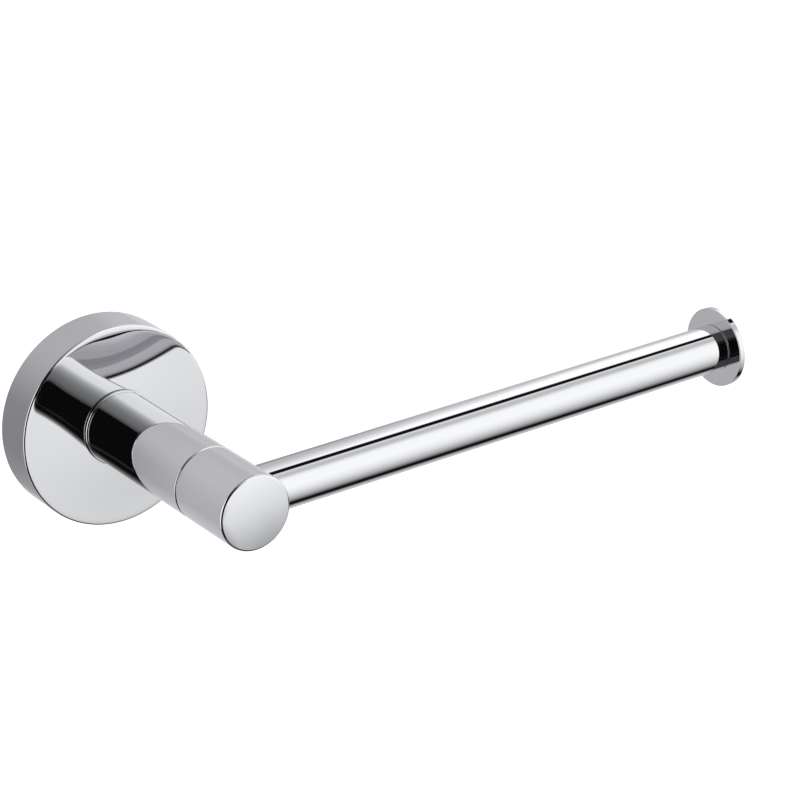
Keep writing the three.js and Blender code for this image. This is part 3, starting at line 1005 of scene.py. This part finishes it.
def add_thread(piece, axis, start, stop, major, pitch):
    origin, along = axis
    side = along.orthogonal().normalized()
    root = major - THREAD_DEPTH * pitch
    crest = major - 0.03 * pitch
    section = [(0.08, root - THREAD_SUNK), (0.44, crest), (0.56, crest),
               (0.92, root - THREAD_SUNK)]
    turns = (stop - start) / pitch - 1
    bm = bmesh.new()
    bm.from_mesh(piece.data)
    before = set(bm.faces)
    verts = [bm.verts.new(origin + along * (start + d * pitch) + side * r) for d, r in section]
    sweep(bm, bm.faces.new(verts), origin, along, math.tau * turns, int(turns * THREAD_STEPS),
          climb=pitch * turns)
    bmesh.ops.recalc_face_normals(bm, faces=[face for face in bm.faces if face not in before])
    bm.to_mesh(piece.data)
    bm.free()
    return piece


def threaded(node, axis, outline, start, stop, major, pitch, *cutters, steps=64):
    """A turned piece with a ridge round its core. The outline gives the core."""
    piece = spun(node + "_fine", axis, outline, steps)
    if cutters:
        combine(piece, "DIFFERENCE", *cutters)
    add_thread(piece, axis, start, stop, major, pitch)
    true_directions(piece, axis, outline)
    return piece


M4_PITCH, M5_PITCH, M6_PITCH = 0.7 * MM, 0.8 * MM, 1.0 * MM
m4_core = M4 / 2 - THREAD_DEPTH * M4_PITCH
m5_core = M5 / 2 - THREAD_DEPTH * M5_PITCH
m6_core = M6 / 2 - THREAD_DEPTH * M6_PITCH
print("core radii: %.2f, %.2f, %.2f mm" % (m4_core / MM, m5_core / MM, m6_core / MM))

# %% [markdown]
# ## The end stop
#
# A small disc closes the bar and keeps the roll on. Its threaded spigot screws into a plug inside
# the bar's end.

# %% End stop disc
DISC_EDGE = 0.22 * MM


def make_disc():
    radius = radius_of("end_stop_disc")
    start, far = low("end_stop_disc", "x"), high("end_stop_disc", "x")
    outline = path((start, 0), (start, m6_core, 0.4 * MM), (disc_near, m6_core, SOFT),
                   (disc_near, radius, DISC_EDGE), (far, radius, DISC_EDGE), (far, 0))
    return threaded("end_stop_disc", ALONG_BAR, outline, start + 0.5 * MM,
                    disc_near - 0.6 * MM, M6 / 2, M6_PITCH, steps=160)


dress(make_disc(), chrome)

# %% [markdown]
# ## The wall bracket
#
# Behind the flange a cast dish is screwed to the wall. Its two slots cross, one level and one
# upright, so that the holder can be set straight. A flat under its rim takes the set screw. A
# slot's cutter is a cylinder whose two halves are pulled apart.

# %% Wall bracket
BRACKET_FLOOR = 2.5 * MM
BRACKET_RIM = 3.4 * MM
SLOT_ASIDE = 13 * MM
SLOT_LENGTH, SLOT_WIDTH = 9 * MM, 5.2 * MM
SLOT_MOUTH = 1 * MM
SLOT_SIDES = 48


def slot_cutter(x, upright, start, stop, radius, stop_radius):
    reach = (SLOT_LENGTH - SLOT_WIDTH) / 2
    bm = bmesh.new()
    half_side = Matrix.Rotation(math.pi / SLOT_SIDES, 4, "Z")
    bmesh.ops.create_cone(bm, cap_ends=True, segments=SLOT_SIDES, radius1=radius,
                          radius2=stop_radius, depth=stop - start, matrix=half_side)
    for way in (-1, 1):
        half = [vert for vert in bm.verts if vert.co.x * way > 0]
        bmesh.ops.translate(bm, verts=half, vec=(reach * way, 0, 0))
    if upright:
        bmesh.ops.rotate(bm, verts=bm.verts, matrix=Matrix.Rotation(math.pi / 2, 3, "Z"))
    bmesh.ops.rotate(bm, verts=bm.verts, matrix=Matrix.Rotation(math.pi / 2, 3, "X"))
    bmesh.ops.translate(bm, verts=bm.verts, vec=(x, -(start + stop) / 2, 0))
    return new_object("slot", bm)


def make_bracket():
    outer, depth = radius_of("wall_bracket", "x"), out_span("wall_bracket")[1]
    inside = outer - BRACKET_RIM
    outline = path((0, 0), (0, outer, SOFT), (depth, outer, 0.5 * MM),
                   (depth, inside, 0.6 * MM), (BRACKET_FLOOR, inside, 1.2 * MM),
                   (BRACKET_FLOOR, 0))
    tools = []
    for x, upright in ((-SLOT_ASIDE, False), (SLOT_ASIDE, True)):
        width = SLOT_WIDTH / 2
        tools.append(slot_cutter(x, upright, -PAST, BRACKET_FLOOR + PAST, width, width))
        tools.append(slot_cutter(x, upright, BRACKET_FLOOR - 0.6 * MM, BRACKET_FLOOR + 0.4 * MM,
                                 width, width + SLOT_MOUTH))
    flat = low("wall_bracket", "z")
    tools.append(block((-outer, -depth - PAST, flat - 3 * MM), (outer, PAST, flat), 0))
    return turned("wall_bracket", OUT_FROM_WALL, outline, *tools, steps=128)


dress(make_bracket(), zinc)

# %% [markdown]
# ## Screws
#
# Three screws hold the holder together. Each is a turned body with a hex socket cut in its head
# and a thread on its core.

# %% Fixing screw, behind the flange
SOCKET_SIDES = 6


def make_fixing_screw():
    start, stop = out_span("post_fixing_screw")
    head_stop = out_span("fixing_spring_washer")[0] - GAP
    outline = path((start, 0), (start, radius_of("post_fixing_screw"), 0.8 * MM),
                   (head_stop, radius_of("post_fixing_screw"), 0.2 * MM),
                   (head_stop, m6_core, SOFT), (stop, m6_core, 0.5 * MM), (stop, 0))
    socket = cutter(OUT_FROM_WALL, start - PAST, start + 2 * MM, 2.3 * MM, sides=SOCKET_SIDES)
    return threaded("post_fixing_screw", OUT_FROM_WALL, outline, head_stop + 0.5 * MM,
                    stop - 0.2 * MM, M6 / 2, M6_PITCH, socket)


dress(make_fixing_screw(), steel_post)

# %% Set screw and grub screw, from below
TIP_LENGTH = 0.7 * MM


def make_upright_screw(node, axis, tip_radius, core, major, pitch, socket_depth, socket_radius):
    start, stop = down_span(node)
    outline = path((start, 0), (start, tip_radius, 0.1 * MM), (start + TIP_LENGTH, core),
                   (stop, core, 0.25 * MM), (stop, 0))
    socket = cutter(axis, stop - socket_depth, stop + PAST, socket_radius, sides=SOCKET_SIDES)
    return threaded(node, axis, outline, start + 0.5 * MM, stop - 0.1 * MM, major, pitch, socket)


set_screw = make_upright_screw("flange_set_screw", downward(set_screw_out), M4 / 4, m4_core,
                               M4 / 2, M4_PITCH, socket_depth=2 * MM,
                               socket_radius=1.15 * MM)
dress(set_screw, steel_down)
grub_screw = make_upright_screw("bar_grub_screw", downward(bar_out), M5 / 3, m5_core,
                                M5 / 2, M5_PITCH, socket_depth=2.4 * MM,
                                socket_radius=1.45 * MM)
dress(grub_screw, steel_down)


# %% Swivel stud
def make_stud():
    start, stop = out_span("swivel_stud")
    return threaded("swivel_stud", OUT_FROM_WALL, rod_outline(start, stop, m6_core, 0.5 * MM),
                    start + 0.1 * MM, stop - 0.1 * MM, M6 / 2, M6_PITCH)


dress(make_stud(), steel_post)

# %% [markdown]
# ## Pins and flat washers
#
# A dowel pin is a rod with rounded ends, and a flat washer is a ring whose punched edges are soft.

# %% Pins
def make_pin(node, axis, edge):
    return turned(node, axis, rod_outline(*out_span(node), radius_of(node), edge), steps=48)


dress(make_pin("locating_pin", pin_axis, 0.35 * MM), steel_post)
dress(make_pin("swivel_stop_pin", stop_pin_axis, SOFT), steel_post)


# %% Flat washers
THIN_EDGE = 0.12 * MM


def make_ring(node, edge, *cutters):
    """A ring about the post's axis that an M6 screw goes through: a washer or a plug."""
    outline = washer_outline(*out_span(node), m6_hole, radius_of(node), edge)
    return turned(node, OUT_FROM_WALL, outline, *cutters)


dress(make_ring("fixing_plain_washer", EASED), steel_post)
dress(make_ring("swivel_plain_washer", THIN_EDGE), steel_post)
thrust_start, thrust_stop = out_span("swivel_thrust_washer")
thrust_hole = cutter(stop_pin_axis, thrust_start - PAST, thrust_stop + PAST, stop_pin_hole)
dress(make_ring("swivel_thrust_washer", THIN_EDGE, thrust_hole), nylon)

# %% [markdown]
# ## Spring washers
#
# A split washer is one coil of square wire: its section is spun almost all the way round and
# climbs a little as it goes, so the two ends miss each other. A wave washer is a flat ring that
# rises and falls three times on its way round, which gives the swivel its steady drag.

# %% Split spring washer
SPLIT_HALF = math.radians(5)
SPLIT_CLIMB = 0.12 * MM


def make_split_washer():
    start, stop = out_span("fixing_spring_washer")
    outer = radius_of("fixing_spring_washer", "x")
    bm = bmesh.new()
    turn = Matrix.Rotation(SPLIT_HALF, 3, "Y")
    corners = ((start, m6_hole), (start, outer), (stop - SPLIT_CLIMB, outer),
               (stop - SPLIT_CLIMB, m6_hole))
    verts = [bm.verts.new(turn @ Vector((0, -out, radius))) for out, radius in corners]
    bm.faces.new(verts)
    bmesh.ops.bevel(bm, geom=verts, offset=EASED, offset_type="OFFSET", segments=3,
                    profile=0.5, affect="VERTICES", material=-1)
    [section] = bm.faces
    sweep(bm, section, (0, 0, 0), (0, 1, 0), math.tau - 2 * SPLIT_HALF, 72, climb=-SPLIT_CLIMB)
    bmesh.ops.recalc_face_normals(bm, faces=bm.faces)
    return new_object("fixing_spring_washer_fine", bm)


def smooth_by_angle(piece, degrees=35):
    """Smooth shading that still breaks at sharp edges."""
    piece.data.polygons.foreach_set("use_smooth", np.ones(len(piece.data.polygons), bool))
    piece.data.set_sharp_from_angle(angle=math.radians(degrees))
    return piece


dress(smooth_by_angle(make_split_washer()), spring)

# %% Wave washer
WAVES = 3
WAVE_THICKNESS = 0.5 * MM


def make_wave_washer():
    near, far = out_span("swivel_wave_washer")
    middle, height = (near + far) / 2, (far - near - WAVE_THICKNESS) / 2
    outline = washer_outline(middle - WAVE_THICKNESS / 2, middle + WAVE_THICKNESS / 2, m6_hole,
                             radius_of("swivel_wave_washer"), 0.1 * MM)
    piece = spun("swivel_wave_washer_fine", OUT_FROM_WALL, outline, 96)
    for vert in piece.data.vertices:
        vert.co.y += height * math.sin(WAVES * math.atan2(vert.co.z, vert.co.x))
    return smooth_by_angle(piece)


dress(make_wave_washer(), spring)

# %% [markdown]
# ## The lock nut
#
# A nut's six corners are turned off at 30 degrees, which leaves a curved line on each flat. The
# same cut makes it here: a hexagonal prism is intersected with a turned barrel, then bored.

# %% Lock nut
NUT_FLATS = 10 * MM
BARREL_CLEAR = 0.01 * MM


def make_nut():
    start, stop = out_span("swivel_lock_nut")
    corner = NUT_FLATS / 2 / math.cos(math.pi / 6)
    turned_off = (corner - NUT_FLATS / 2) * math.tan(math.radians(30))
    widest = corner + BARREL_CLEAR
    barrel = path((start, 0), (start, NUT_FLATS / 2), (start + turned_off, widest),
                  (stop - turned_off, widest), (stop, NUT_FLATS / 2), (stop, 0))
    nut = cutter(OUT_FROM_WALL, start, stop, corner, sides=6)
    nut.name = "swivel_lock_nut_fine"
    combine(nut, "INTERSECT", spun("barrel", OUT_FROM_WALL, barrel, 96))
    bore = M6 / 2 + 0.05 * MM
    mouth = bore + 0.5 * MM
    combine(nut, "DIFFERENCE",
            cutter(OUT_FROM_WALL, start - PAST, stop + PAST, bore),
            cutter(OUT_FROM_WALL, start - 0.1 * MM, start + 0.5 * MM, mouth, bore),
            cutter(OUT_FROM_WALL, stop - 0.5 * MM, stop + 0.1 * MM, bore, mouth))
    return smooth_by_angle(nut)


dress(make_nut(), steel_post)

# %% [markdown]
# ## Plugs
#
# Brass plugs close the tubes and carry the threads that a thin tube can't. The front plug also
# holds the swivel's stop: a pin in the head runs in a quarter-ring slot, cut by spinning a small
# rectangle and rounding its ends with two drills.

# %% Plug at the post's base
PLUG_EDGE = 0.4 * MM
PIN_HOLE_DEPTH = 4.5 * MM
base_start = out_span("post_base_plug")[0]
base_hole = cutter(pin_axis, base_start - PAST, base_start + PIN_HOLE_DEPTH, pin_hole)
dress(make_ring("post_base_plug", PLUG_EDGE, base_hole), brass_post)

# %% Front plug and its stop slot
SLOT_DEPTH = 4 * MM
SLOT_EXTRA = 0.04


def stop_slot_cutters():
    face = out_span("post_front_plug")[1]
    deep, proud = face - SLOT_DEPTH, face + PAST
    ring = math.hypot(stop_pin_x, stop_pin_z)
    half = math.radians(45) + SLOT_EXTRA
    bm = bmesh.new()
    turn = Matrix.Rotation(half, 3, "Y")
    corners = ((deep, ring - stop_pin_hole), (proud, ring - stop_pin_hole),
               (proud, ring + stop_pin_hole), (deep, ring + stop_pin_hole))
    verts = [bm.verts.new(turn @ Vector((radius, -out, 0))) for out, radius in corners]
    sweep(bm, bm.faces.new(verts), (0, 0, 0), (0, -1, 0), 2 * half, 24)
    bmesh.ops.recalc_face_normals(bm, faces=bm.faces)
    tools = [new_object("slot", bm)]
    for way in (-1, 1):
        end = beside_post(ring * math.cos(half), ring * math.sin(half) * way)
        tools.append(cutter(end, deep, proud, stop_pin_hole))
    return tools


dress(make_ring("post_front_plug", PLUG_EDGE, *stop_slot_cutters()), brass_post)


# %% Plugs in the bar
def make_root_plug():
    outline = rod_outline(low("bar_root_plug", "x"), high("bar_root_plug", "x"),
                          radius_of("bar_root_plug"), PLUG_EDGE)
    return turned("bar_root_plug", ALONG_BAR, outline, grub_cutter(3 * MM, bar_radius))


def make_end_plug():
    outline = washer_outline(low("bar_end_plug", "x"), high("bar_end_plug", "x"), m6_hole,
                             radius_of("bar_end_plug"), PLUG_EDGE)
    return turned("bar_end_plug", ALONG_BAR, outline)


dress(make_root_plug(), brass_bar)
dress(make_end_plug(), brass_bar)
